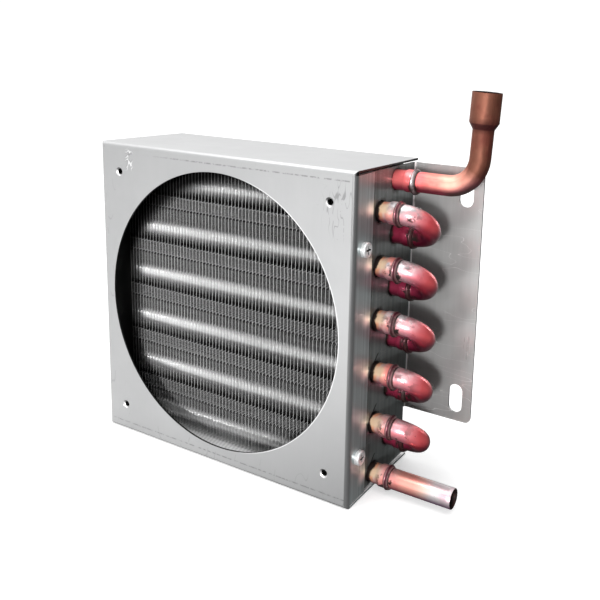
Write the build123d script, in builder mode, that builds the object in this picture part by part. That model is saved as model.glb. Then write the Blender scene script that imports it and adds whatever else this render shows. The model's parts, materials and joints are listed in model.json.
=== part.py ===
from build123d import *
from math import hypot
import os

# Finned condenser coil with a folded fan shroud.
# X runs along the tubes, Y from the fan face to the back, Z up. The origin is the centre
# of the round fan opening, on the outer surface of the fan face. Lengths are millimetres.

# Fan shroud, one folded sheet
shroud_width = 152.0
shroud_height = 155.0
shroud_depth = 57.5
shroud_sheet = 1.0
shroud_bend_radius = 1.2
side_flange_depth = 15.2
corner_slit = 0.6
fan_opening_diameter = 138.0
pilot_hole_spacing = 126.0
pilot_hole_diameter = 2.8
pilot_dimple_lip = 0.8
pilot_dimple_angle = 100.0
pilot_collar_wall = 0.8
pilot_collar_height = 1.2

# Copper tubes
tube_diameter = 9.52
tube_wall = 0.5
tube_pitch = 25.4
row_pitch = 14.6
front_row_depth = 23.8
bottom_tube_height = 7.1
top_tube_drop = 7.5

# Belled leg ends on the right, where the bends are brazed in
leg_reach = 9.5
leg_bell_length = 5.0
leg_bell_flare = 1.2
joint_clearance = 0.05
braze_lip = 0.45
braze_length = 1.3
braze_bulge = 0.2

# Bends
hairpin_bend_gap = 1.5
return_bend_straight = 1.6
spigot_end_gap = 0.3

# Inlet elbow and its socket
elbow_run = 16.2
elbow_bend_radius = 14.3
elbow_lean = 3.0
elbow_rise = 12.5
socket_bore = 12.0
socket_wall = 0.55
socket_depth = 13.0
socket_flare = 3.0

# Outlet stub
outlet_reach = 33.0

# Fin pack
fin_depth = 32.0
fin_flange_gap = 0.6
fin_thickness = 0.35
fin_count = 30
fin_end_gap = 0.6
fin_collar_wall = 0.5
fin_clearance = 0.05

# End plates
plate_sheet = 1.0
plate_flange_gap = 0.9
plate_fold_gap = 0.3
plate_setback = 0.5
plate_bend_radius = 1.2
plate_hole_clearance = 0.4
mounting_flange_reach = 36.0
mounting_flange_corner = 3.0
slot_width = 7.0
slot_length = 14.7
slot_spacing = 103.0
slot_edge_distance = 8.3
slot_end_margin = 4.15

# Screws in the side flanges
screw_head_diameter = 7.0
screw_head_height = 2.2
screw_head_edge = 0.8
screw_diameter = 3.9
screw_length = 7.5
screw_tip = 1.2
screw_hole_clearance = 0.15
screw_thread_clearance = 0.05
cross_length = 4.0
cross_width = 0.9
cross_depth = 1.2
screw_edge_distance = 6.8
upper_screw_drop = 35.0
lower_screw_rise = 22.5

# Places that follow from the sizes above
inner_half_width = shroud_width / 2 - shroud_sheet
inner_half_height = shroud_height / 2 - shroud_sheet
plate_outer = inner_half_width
plate_inner = inner_half_width - plate_sheet
plate_height = 2 * (inner_half_height - plate_flange_gap)
plate_front = shroud_sheet + shroud_bend_radius + plate_fold_gap
plate_back = shroud_depth - plate_setback
fin_height = 2 * (inner_half_height - fin_flange_gap)
screw_depth = side_flange_depth - screw_edge_distance
screw_heights = (shroud_height / 2 - upper_screw_drop, lower_screw_rise - shroud_height / 2)
tube_radius = tube_diameter / 2
stagger = tube_pitch / 2
rear_row_depth = front_row_depth + row_pitch
row_room = shroud_height - bottom_tube_height - stagger - top_tube_drop
tubes_per_row = int(row_room // tube_pitch) + 1
bend_centres = hypot(row_pitch, stagger)
front_heights = [
    -shroud_height / 2 + bottom_tube_height + tube_pitch * (tubes_per_row - 1 - i)
    for i in range(tubes_per_row)
]
rear_heights = [z + stagger for z in front_heights]
tube_places = [(front_row_depth, z) for z in front_heights]
tube_places += [(rear_row_depth, z) for z in rear_heights]
leg_end = plate_outer + leg_reach
bell_start = leg_end - leg_bell_length
leg_bell_radius = tube_radius + joint_clearance + tube_wall
spigot_start = bell_start + leg_bell_flare + spigot_end_gap
rows_middle = (front_row_depth + rear_row_depth) / 2

os.makedirs("parts", exist_ok=True)


def keep(piece, label):
    piece.part.label = label
    export_step(piece.part, f"parts/{label}.step")


def tube_ring(outer_radius):
    """Section of a tube wall, drawn on the sketch in use."""
    Circle(outer_radius)
    Circle(outer_radius - tube_wall, mode=Mode.SUBTRACT)


def across_rows(first_height, last_height):
    """Plane through a front tube and a rear tube, X along the tubes, Y from front to rear."""
    middle = (0, rows_middle, (first_height + last_height) / 2)
    to_rear = Vector(0, row_pitch, last_height - first_height)
    return Plane(origin=middle, x_dir=(1, 0, 0), z_dir=Vector(1, 0, 0).cross(to_rear))


# Fan shroud
with BuildPart() as fan_shroud:
    with BuildSketch(Plane.XZ):
        Rectangle(shroud_width, shroud_height)
    extrude(amount=-shroud_depth)
    offset(amount=-shroud_sheet, openings=fan_shroud.faces().sort_by(Axis.Y)[-1])
    outer_edges = fan_shroud.faces().sort_by(Axis.Y)[0].outer_wire().edges()
    fillet(outer_edges, shroud_bend_radius + shroud_sheet)
    inner_face = fan_shroud.faces().filter_by(Axis.Y).sort_by(Axis.Y)[1]
    fillet(inner_face.outer_wire().edges(), shroud_bend_radius)
    # the side flanges stop short and stand clear of the top and bottom flanges
    with BuildSketch(Plane.XY):
        side_offset = inner_half_width + shroud_sheet / 2
        with Locations((0, (shroud_depth + side_flange_depth) / 2)):
            with GridLocations(2 * side_offset, 0, 2, 1):
                Rectangle(shroud_sheet, shroud_depth - side_flange_depth)
    extrude(amount=inner_half_height, both=True, mode=Mode.SUBTRACT)
    with BuildSketch(Plane.XZ.offset(-shroud_sheet - shroud_bend_radius)):
        slit_height = 2 * (inner_half_height - corner_slit / 2)
        with GridLocations(2 * side_offset, slit_height, 2, 2):
            Rectangle(shroud_sheet, corner_slit)
    extrude(amount=-shroud_depth, mode=Mode.SUBTRACT)
    # fan opening and plunged pilot holes
    with BuildSketch(Plane.XZ):
        Circle(fan_opening_diameter / 2)
    extrude(amount=-shroud_sheet, mode=Mode.SUBTRACT)
    with BuildSketch(Plane.XZ.offset(-shroud_sheet)):
        with GridLocations(pilot_hole_spacing, pilot_hole_spacing, 2, 2):
            Circle(pilot_hole_diameter / 2 + pilot_collar_wall)
    extrude(amount=-pilot_collar_height)
    with Locations(Plane.XZ):
        with GridLocations(pilot_hole_spacing, pilot_hole_spacing, 2, 2):
            CounterSinkHole(
                pilot_hole_diameter / 2,
                pilot_hole_diameter / 2 + pilot_dimple_lip,
                depth=shroud_sheet + pilot_collar_height,
                counter_sink_angle=pilot_dimple_angle,
            )
    # screw holes in the side flanges
    with BuildSketch(Plane.YZ.offset(-shroud_width / 2)):
        with Locations(*[(screw_depth, z) for z in screw_heights]):
            Circle(screw_diameter / 2 + screw_hole_clearance)
    extrude(amount=shroud_width, mode=Mode.SUBTRACT)
keep(fan_shroud, "fan_shroud")


def plate_holes(plate_face):
    """Tube holes and screw holes of an end plate, on its inner face."""
    with BuildSketch(Plane.YZ.offset(plate_face)) as holes:
        with Locations(*tube_places):
            Circle(tube_radius + plate_hole_clearance)
        with Locations(*[(screw_depth, z) for z in screw_heights]):
            Circle(screw_diameter / 2 + screw_thread_clearance)
    return holes.sketch


# Right end plate, folded outwards at the back into the mounting flange
flange_top = plate_height / 2
mounting_flange_height = slot_spacing + slot_length + 2 * slot_end_margin
flange_bottom = flange_top - mounting_flange_height
slot_column = plate_outer + mounting_flange_reach - slot_edge_distance
with BuildPart() as right_end_plate:
    with BuildSketch(Plane.YZ.offset(plate_inner)):
        with Locations(((plate_front + plate_back) / 2, 0)):
            Rectangle(plate_back - plate_front, plate_height)
        with Locations((plate_back, -plate_height / 2)):
            Rectangle(
                2 * (plate_sheet + plate_bend_radius),
                2 * (flange_bottom + plate_height / 2),
                mode=Mode.SUBTRACT,
            )
    extrude(amount=plate_sheet)
    with BuildSketch(Plane.XY.offset(flange_bottom)):
        with Locations((plate_inner, plate_back)):
            Rectangle(
                mounting_flange_reach + plate_sheet,
                plate_sheet,
                align=(Align.MIN, Align.MAX),
            )
    extrude(amount=mounting_flange_height)
    fold = right_end_plate.edges().filter_by(Axis.Z)
    fillet(fold.group_by(Axis.X)[0].sort_by(Axis.Y)[-1], plate_bend_radius + plate_sheet)
    inside_corner = Vector(plate_outer, plate_back - plate_sheet, 0)
    inside_fold = right_end_plate.edges().filter_by(Axis.Z).sort_by_distance(inside_corner)[0]
    fillet(inside_fold, plate_bend_radius)
    flange_corners = right_end_plate.edges().filter_by(Axis.Y).group_by(Axis.X)[-1]
    fillet(flange_corners, mounting_flange_corner)
    with BuildSketch(Plane.XZ.offset(-plate_back)):
        with Locations((slot_column, (flange_top + flange_bottom) / 2)):
            with GridLocations(0, slot_spacing, 1, 2):
                SlotOverall(slot_length, slot_width, rotation=90)
    extrude(amount=plate_sheet, mode=Mode.SUBTRACT)
    extrude(plate_holes(plate_inner), amount=plate_sheet, mode=Mode.SUBTRACT)
keep(right_end_plate, "right_end_plate")

# Left end plate, flat
with BuildPart() as left_end_plate:
    with BuildSketch(Plane.YZ.offset(-plate_inner)):
        with Locations(((plate_front + plate_back) / 2, 0)):
            Rectangle(plate_back - plate_front, plate_height)
    extrude(amount=-plate_sheet)
    extrude(plate_holes(-plate_inner), amount=-plate_sheet, mode=Mode.SUBTRACT)
keep(left_end_plate, "left_end_plate")

# Fin pack: the collars of neighbouring fins meet, so that fins and collars are one solid
pack_half_width = plate_inner - fin_end_gap
fin_spacing = (2 * pack_half_width - fin_thickness) / (fin_count - 1)
collar_bore = tube_radius + fin_clearance
with BuildPart() as fin_pack:
    with BuildSketch(Plane.YZ.offset(-pack_half_width)):
        with Locations(*tube_places):
            RegularPolygon(collar_bore + fin_collar_wall, 6, major_radius=False)
    extrude(amount=2 * pack_half_width)
    fin_planes = [Plane.YZ.offset(-pack_half_width + i * fin_spacing) for i in range(fin_count)]
    with BuildSketch(*fin_planes):
        with Locations((rows_middle, 0)):
            Rectangle(fin_depth, fin_height)
    extrude(amount=fin_thickness)
    with BuildSketch(Plane.YZ.offset(-pack_half_width)):
        with Locations(*tube_places):
            Circle(collar_bore)
    extrude(amount=2 * pack_half_width, mode=Mode.SUBTRACT)
keep(fin_pack, "fin_pack")


# Hairpins: rear leg, left-hand bend and front leg of one tube, both right ends belled
def make_hairpin(number, rear_height, front_height):
    plane = across_rows(front_height, rear_height)
    half = bend_centres / 2
    bend_start = -plate_outer - hairpin_bend_gap
    with BuildPart() as hairpin:
        with BuildLine(plane) as path:
            front_leg = Line((bell_start, -half), (bend_start, -half))
            turn = TangentArc(front_leg @ 1, (bend_start, half), tangent=front_leg % 1)
            Line(turn @ 1, (bell_start, half))
        with BuildSketch(Plane(path.line @ 0, z_dir=path.line % 0)):
            tube_ring(tube_radius)
        sweep()
        # bells at the leg ends
        for side in (-half, half):
            with BuildSketch(plane):
                with BuildLine():
                    outer = Polyline(
                        (bell_start, side + tube_radius),
                        (bell_start + leg_bell_flare, side + leg_bell_radius),
                        (leg_end, side + leg_bell_radius),
                    )
                    inner = Polyline(
                        (bell_start, side + tube_radius - tube_wall),
                        (bell_start + leg_bell_flare, side + leg_bell_radius - tube_wall),
                        (leg_end, side + leg_bell_radius - tube_wall),
                    )
                    Line(outer @ 0, inner @ 0)
                    Line(outer @ 1, inner @ 1)
                make_face()
            middle_line = Axis(plane.from_local_coords((0, side, 0)), (1, 0, 0))
            revolve(axis=middle_line)
    keep(hairpin, f"hairpin_{number}")


for i in range(tubes_per_row):
    make_hairpin(i + 1, rear_heights[i], front_heights[i])


# Return bends: front tube of one hairpin to the rear tube of the next
def make_return_bend(number, front_height, rear_height):
    plane = across_rows(front_height, rear_height)
    half = bend_centres / 2
    bend_start = leg_end + return_bend_straight
    with BuildPart() as return_bend:
        with BuildLine(plane) as path:
            front_spigot = Line((spigot_start, -half), (bend_start, -half))
            turn = TangentArc(front_spigot @ 1, (bend_start, half), tangent=front_spigot % 1)
            Line(turn @ 1, (spigot_start, half))
        with BuildSketch(Plane(path.line @ 0, z_dir=path.line % 0)):
            tube_ring(tube_radius)
        sweep()
    keep(return_bend, f"return_bend_{number}")


for i in range(tubes_per_row - 1):
    make_return_bend(i + 1, front_heights[i], rear_heights[i + 1])

# Inlet elbow, turned up from the top rear tube and belled to a socket at its end
elbow_plane = Plane(origin=(0, rear_row_depth, rear_heights[0]), x_dir=(1, 0, 0), z_dir=(0, -1, 0))
with BuildPart() as inlet_elbow:
    with BuildLine(elbow_plane) as path:
        run = Line((spigot_start, 0), (leg_end + elbow_run, 0))
        turn = JernArc(run @ 1, run % 1, elbow_bend_radius, 90 - elbow_lean)
        Line(turn @ 1, turn @ 1 + (turn % 1) * elbow_rise)
    with BuildSketch(Plane(path.line @ 0, z_dir=path.line % 0)):
        tube_ring(tube_radius)
    sweep()
    socket_plane = Plane(path.line @ 1, z_dir=path.line % 1)
    with BuildSketch(Plane(socket_plane.origin, x_dir=socket_plane.x_dir, z_dir=-socket_plane.y_dir)):
        with BuildLine():
            tube_bore_radius = tube_radius - tube_wall
            socket_radius = socket_bore / 2
            Polyline(
                (tube_bore_radius, 0),
                (socket_radius, socket_flare),
                (socket_radius, socket_flare + socket_depth),
                (socket_radius + socket_wall, socket_flare + socket_depth),
                (socket_radius + socket_wall, socket_flare),
                (tube_radius, 0),
                close=True,
            )
        make_face()
    revolve(axis=Axis(socket_plane.origin, socket_plane.z_dir))
keep(inlet_elbow, "inlet_elbow")

# Outlet stub, straight out of the bottom front tube
with BuildPart() as outlet_stub:
    with BuildSketch(Plane.YZ.offset(spigot_start)):
        with Locations((front_row_depth, front_heights[-1])):
            tube_ring(tube_radius)
    extrude(amount=leg_end + outlet_reach - spigot_start)
keep(outlet_stub, "outlet_stub")


# Braze fillets: one at each leg end, between the bell's end face and the tube that enters it
def make_braze_ring(number, place):
    with BuildPart() as braze_ring:
        with BuildSketch(Plane(origin=(leg_end, *place), x_dir=(1, 0, 0), z_dir=(0, -1, 0))):
            with BuildLine():
                foot = (0, tube_radius)
                lip = (0, leg_bell_radius + braze_lip)
                toe = (braze_length, tube_radius)
                Line(foot, lip)
                SagittaArc(lip, toe, braze_bulge)
                Line(toe, foot)
            make_face()
        revolve(axis=Axis((0, *place), (1, 0, 0)))
    keep(braze_ring, f"braze_ring_{number:02d}")


for i in range(len(tube_places)):
    make_braze_ring(i + 1, tube_places[i])

# Screws: pan heads with a cross recess on the side flanges, shanks through the end plates
seats = [
    Plane(origin=(side * shroud_width / 2, screw_depth, z), z_dir=(side, 0, 0))
    for side in (-1, 1)
    for z in screw_heights
]
with BuildPart() as side_screws:
    with BuildSketch(*seats):
        Circle(screw_head_diameter / 2)
    extrude(amount=screw_head_height)
    crowns = side_screws.edges().group_by(lambda edge: round(abs(edge.center().X), 3))[-1]
    fillet(crowns, screw_head_edge)
    with BuildSketch(*seats):
        Circle(screw_diameter / 2)
    extrude(amount=-screw_length)
    tips = side_screws.edges().group_by(lambda edge: round(abs(edge.center().X), 3))[0]
    chamfer(tips, screw_tip)
    with BuildSketch(*[seat.offset(screw_head_height) for seat in seats]):
        Rectangle(cross_length, cross_width)
        Rectangle(cross_width, cross_length)
    extrude(amount=-cross_depth, mode=Mode.SUBTRACT)
keep(side_screws, "side_screws")
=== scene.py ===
import json
import math

import bmesh
import bpy
from bpy.props import FloatProperty, FloatVectorProperty, IntProperty, PointerProperty
from mathutils import Euler, Matrix, Vector, noise


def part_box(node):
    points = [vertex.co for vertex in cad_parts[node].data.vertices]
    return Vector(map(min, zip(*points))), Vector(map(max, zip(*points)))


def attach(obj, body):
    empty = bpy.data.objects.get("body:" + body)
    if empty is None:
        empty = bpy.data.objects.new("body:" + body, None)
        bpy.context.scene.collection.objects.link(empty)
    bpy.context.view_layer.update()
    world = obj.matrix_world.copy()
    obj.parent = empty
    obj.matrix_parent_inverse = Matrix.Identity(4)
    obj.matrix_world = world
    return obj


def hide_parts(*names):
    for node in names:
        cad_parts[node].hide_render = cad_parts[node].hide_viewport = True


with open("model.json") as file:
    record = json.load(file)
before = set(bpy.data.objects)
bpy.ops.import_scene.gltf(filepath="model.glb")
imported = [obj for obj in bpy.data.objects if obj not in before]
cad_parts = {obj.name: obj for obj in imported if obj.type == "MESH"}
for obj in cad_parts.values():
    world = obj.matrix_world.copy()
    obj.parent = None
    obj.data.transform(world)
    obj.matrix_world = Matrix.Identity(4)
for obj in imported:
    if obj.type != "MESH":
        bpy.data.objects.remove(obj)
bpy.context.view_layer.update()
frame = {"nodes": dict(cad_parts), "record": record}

bl_info = {
    "name": "Finned condenser coil",
    "version": (1, 0, 0),
    "blender": (4, 5, 0),
    "location": "3D View > Sidebar > Coil",
    "description": "Dresses a finned condenser coil: folded sheet, fin pack, copper tubes and brazed joints",
    "category": "Object",
}

MM = 0.001
BODY = "root"
RIGHT = Vector((1, 0, 0))
UP = Vector((0, 0, 1))

# Small lengths: what is merged, what counts as level or as on a face, and the play and rims of the tubes
WELD = 0.0005 * MM
TOLERANCE = 0.01 * MM
ON_PLANE = 0.1 * MM
FIN_CLEARANCE = 0.05 * MM
RIM_STEP = 0.12 * MM
OUTLET_CHAMFER = 0.15 * MM
SOCKET_CHAMFER = 0.3 * MM
MOST_SWELL = 0.2 * MM

# Places read from the frame, in metres
TUBES_PER_ROW = sum(name.startswith("hairpin_") for name in frame["nodes"])
SHROUD_LOW, SHROUD_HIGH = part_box("fan_shroud")
PACK_LOW, PACK_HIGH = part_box("fin_pack")
OUTLET_LOW, OUTLET_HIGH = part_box("outlet_stub")
RIGHT_PLATE_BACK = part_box("right_end_plate")[1].y
LEFT_PLATE_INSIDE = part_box("left_end_plate")[1].x
TUBE_RADIUS = (OUTLET_HIGH.z - OUTLET_LOW.z) / 2
SPIGOT_START = OUTLET_LOW.x
MOUNTS = {mount["name"]: mount for mount in frame["record"]["mounts"]}
PILOT_HOLES = MOUNTS["fan_face"]["dims"]


def joint_place(number):
    """Centre of a brazed joint, in the plane of the leg's end."""
    low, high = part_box(f"braze_ring_{number:02d}")
    return Vector((low.x, (low.y + high.y) / 2, (low.z + high.z) / 2))


FRONT_JOINTS = [joint_place(i + 1) for i in range(TUBES_PER_ROW)]
REAR_JOINTS = [joint_place(i + 1 + TUBES_PER_ROW) for i in range(TUBES_PER_ROW)]
LEG_END = FRONT_JOINTS[0].x
LOWEST_TUBE = FRONT_JOINTS[-1].z
PITCH = FRONT_JOINTS[0].z - FRONT_JOINTS[1].z
RIB_HEIGHTS = [(high.z + low.z) / 2 for high, low in zip(FRONT_JOINTS, FRONT_JOINTS[1:])]
BEND_RADIUS = (REAR_JOINTS[0] - FRONT_JOINTS[0]).length / 2
BEND_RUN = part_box("return_bend_1")[1].x - BEND_RADIUS - TUBE_RADIUS - LEG_END
BEND_LENGTH = 2 * BEND_RUN + math.pi * BEND_RADIUS

# Marks, painted light and painted shade on the sheet metal
CRACK_MIDDLE = (71 * MM, 60 * MM)
SCUFF_MIDDLE = (-56 * MM, 69.5 * MM)
RUB_ROW_INSET = 4.6 * MM
SHROUD_SIDE_SHADE = 1.05
PLATE_SIDE_SHADE = 0.475
SIDE_FLANGE_DEPTH = 15.2 * MM
GLOW_RISE = 3.0 * MM
GLOW_RADIUS = 5.0 * MM
LINE_FOOT = 4.6 * MM
LINE_HEAD = 8.2 * MM
LINE_SLANT = 1.1


class FinSettings(bpy.types.PropertyGroup):
    """Sizes and looks of the fins"""

    count: IntProperty(name="Fins", description="Number of fins in the pack", default=70, min=2)
    thickness: FloatProperty(
        name="Foil", description="Thickness of a fin", default=0.13 * MM, unit="LENGTH", precision=5
    )
    collar_wall: FloatProperty(
        name="Collar wall", description="Wall of the collar round a tube", default=0.14 * MM, unit="LENGTH"
    )
    collar_root: FloatProperty(
        name="Collar root", description="Fillet where a collar leaves its fin", default=0.5 * MM,
        unit="LENGTH",
    )
    collar_sides: IntProperty(name="Collar sides", description="Facets round a collar", default=20, min=8)
    edge_cuts: IntProperty(name="Edge points", description="Points along a fin's long edge", default=36)
    edge_wave: FloatProperty(
        name="Edge wave", description="How far a fin's free edge is bent", default=0.03 * MM, unit="LENGTH"
    )
    rib_width: FloatProperty(
        name="Rib width", description="Width of the rib between two tubes", default=1.4 * MM, unit="LENGTH"
    )
    rib_rise: FloatProperty(
        name="Rib rise", description="Height of the pressed rib", default=0.30 * MM, unit="LENGTH"
    )
    edge_depth: FloatProperty(
        name="Edge depth", description="Depth of the bright sheared edge", default=0.16 * MM, unit="LENGTH"
    )
    shade_reach: FloatProperty(
        name="Shade reach", description="How far below a tube the dark band reaches", default=6.4 * MM,
        unit="LENGTH",
    )
    spacing_error: FloatProperty(
        name="Spacing error", description="Uneven spacing of the fins", default=0.015 * MM, unit="LENGTH"
    )
    colour: FloatVectorProperty(
        name="Foil colour", description="Bare aluminium foil", default=(0.97, 0.97, 0.97), subtype="COLOR"
    )
    # The clean part of the front is its lit part: outside it the fins get a painted shadow.
    lit_middle: FloatVectorProperty(
        name="Clear middle", description="Middle of the clean part of the front, X and Z", size=2,
        default=(0.0, -15 * MM), unit="LENGTH",
    )
    lit_radius: FloatProperty(
        name="Clear radius", description="Radius of the clean part of the front", default=76 * MM,
        unit="LENGTH",
    )


class TubeSettings(bpy.types.PropertyGroup):
    """Sizes and colours of the copper"""

    wall: FloatProperty(name="Wall", description="Wall of the copper tube", default=0.5 * MM, unit="LENGTH")
    sides: IntProperty(name="Sides", description="Facets round a tube", default=40, min=12)
    bend_steps: IntProperty(name="Bend steps", description="Facets along a half-round bend", default=36)
    bell_length: FloatProperty(
        name="Bell length", description="Belled stretch at a leg's end", default=5.0 * MM, unit="LENGTH"
    )
    bell_flare: FloatProperty(
        name="Bell flare", description="Cone between leg and bell", default=1.2 * MM, unit="LENGTH"
    )
    bell_step: FloatProperty(
        name="Bell step", description="How much wider a bell is than its tube", default=0.55 * MM,
        unit="LENGTH",
    )
    elbow_radius: FloatProperty(
        name="Elbow radius", description="Radius of the elbow's turn", default=14.3 * MM, unit="LENGTH"
    )
    socket_flare: FloatProperty(
        name="Socket flare", description="Cone below the inlet socket", default=3.0 * MM, unit="LENGTH"
    )
    socket_wall: FloatProperty(
        name="Socket wall", description="Wall of the elbow and its socket", default=0.55 * MM, unit="LENGTH"
    )
    metal: FloatProperty(
        name="Metal look", description="Share of mirror over matt in copper", default=0.72, subtype="FACTOR"
    )
    roughness: FloatProperty(
        name="Roughness", description="Roughness of the clean copper", default=0.30, subtype="FACTOR"
    )
    salmon: FloatVectorProperty(
        name="Fresh copper", description="Clean copper near a joint", default=(0.95, 0.19, 0.19),
        subtype="COLOR",
    )
    plain: FloatVectorProperty(
        name="Plain copper", description="Unheated drawn copper", default=(0.84, 0.40, 0.27), subtype="COLOR"
    )
    peach: FloatVectorProperty(
        name="Peach copper", description="Light copper beside a joint", default=(1.0, 0.44, 0.36),
        subtype="COLOR",
    )
    # painted highlight on the upper front of the front legs
    pale: FloatVectorProperty(
        name="Pale side", description="Upper front of the front legs", default=(1.0, 0.74, 0.50),
        subtype="COLOR",
    )
    tan: FloatVectorProperty(
        name="Heated copper", description="Orange tan near the end plate", default=(1.0, 0.47, 0.28),
        subtype="COLOR",
    )
    cream: FloatVectorProperty(
        name="Pale copper", description="Pale stretch of a tube", default=(0.93, 0.62, 0.52), subtype="COLOR"
    )
    blush: FloatVectorProperty(
        name="Blushed copper", description="Pink stretch where a bend starts", default=(1.0, 0.27, 0.31),
        subtype="COLOR",
    )
    ember: FloatVectorProperty(
        name="Reddened copper", description="Orange red round a bend", default=(0.95, 0.14, 0.15),
        subtype="COLOR",
    )
    crimson: FloatVectorProperty(
        name="Shaded copper", description="Deep red of the rear legs", default=(0.30, 0.025, 0.065),
        subtype="COLOR",
    )
    flushed: FloatVectorProperty(
        name="Flushed copper", description="Red start of the elbow", default=(0.68, 0.23, 0.19),
        subtype="COLOR",
    )
    rusty: FloatVectorProperty(
        name="Rusty copper", description="Middle of the elbow's turn", default=(0.80, 0.36, 0.28),
        subtype="COLOR",
    )
    brown: FloatVectorProperty(
        name="Aged copper", description="Satin brown of the elbow", default=(0.17, 0.062, 0.038),
        subtype="COLOR",
    )
    silver: FloatVectorProperty(
        name="Tinned copper", description="Silver film of brazing alloy", default=(0.81, 0.75, 0.76),
        subtype="COLOR",
    )
    # This dark colour is flux soot on the copper, and also painted shade: at the roots of the legs, round
    # the tube holes and under the braze beads.
    soot_and_shade: FloatVectorProperty(
        name="Flux stain", description="Dark flux and oxide", default=(0.025, 0.016, 0.014), subtype="COLOR"
    )


class BrazeSettings(bpy.types.PropertyGroup):
    """Sizes and colours of the braze beads"""

    steps: IntProperty(name="Ring steps", description="Facets round a braze ring", default=56, min=16)
    unevenness: FloatProperty(
        name="Unevenness", description="How uneven a braze ring is", default=0.28 * MM, unit="LENGTH"
    )
    drip: FloatProperty(
        name="Drip", description="How far alloy hangs under a joint", default=0.9 * MM, unit="LENGTH"
    )
    colour: FloatVectorProperty(
        name="Alloy", description="Colour of the brazing alloy", default=(0.36, 0.33, 0.32), subtype="COLOR"
    )
    maroon: FloatVectorProperty(
        name="Coppery alloy", description="Alloy reddened by copper", default=(0.13, 0.03, 0.045),
        subtype="COLOR",
    )
    rose: FloatVectorProperty(
        name="Rosy alloy", description="Alloy with a copper film", default=(0.72, 0.42, 0.42),
        subtype="COLOR",
    )
    burnt: FloatVectorProperty(
        name="Burnt alloy", description="Dark olive alloy", default=(0.09, 0.08, 0.06), subtype="COLOR"
    )


class SheetSettings(bpy.types.PropertyGroup):
    """Colours of the sheet metal"""

    shroud: FloatVectorProperty(
        name="Shroud sheet", description="Zinc coat of the fan shroud", default=(0.40, 0.402, 0.405),
        subtype="COLOR",
    )
    plate: FloatVectorProperty(
        name="Plate sheet", description="Zinc coat of the end plates", default=(0.42, 0.42, 0.415),
        subtype="COLOR",
    )
    plating: FloatVectorProperty(
        name="Screw plating", description="Zinc coat of the screws", default=(0.95, 0.95, 0.95),
        subtype="COLOR",
    )


class StageSettings(bpy.types.PropertyGroup):
    """Camera, floor and lights"""

    lens: FloatProperty(name="Lens", description="Focal length", default=43.48, unit="CAMERA")
    shift_x: FloatProperty(name="Shift X", description="Sideways framing of the picture", default=-0.1485)
    shift_y: FloatProperty(name="Shift Y", description="Upright framing of the picture", default=-0.175)
    camera: FloatVectorProperty(
        name="Camera", description="Place of the camera", default=(0.22657, -0.25449, 0.12268), unit="LENGTH"
    )
    turn: FloatVectorProperty(
        name="Camera turn", description="Turn of the camera", subtype="EULER",
        default=(math.radians(79.54), math.radians(-2.12), math.radians(28.36)),
    )
    floor_radius: FloatProperty(name="Floor", description="Radius of the floor", default=6.0, unit="LENGTH")
    floor_colour: FloatVectorProperty(
        name="Floor colour", description="Plain pale floor", default=(0.92, 0.92, 0.92), subtype="COLOR"
    )
    dark_card: FloatVectorProperty(
        name="Dark card", description="Floor that the gloss sees on the right", default=(0.09, 0.09, 0.09),
        subtype="COLOR",
    )
    light_card: FloatVectorProperty(
        name="Light card", description="Floor that the gloss sees on the left", default=(0.90, 0.90, 0.90),
        subtype="COLOR",
    )
    floor_glow: FloatProperty(
        name="Floor glow", description="Lift of the floor to white", default=0.35, subtype="FACTOR"
    )
    front_power: FloatProperty(name="Front light", description="Light in front", default=7.2, unit="POWER")
    top_power: FloatProperty(name="Overhead light", description="Light above", default=6.5, unit="POWER")


def grey(level):
    """A neutral colour."""
    return (level, level, level)


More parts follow.
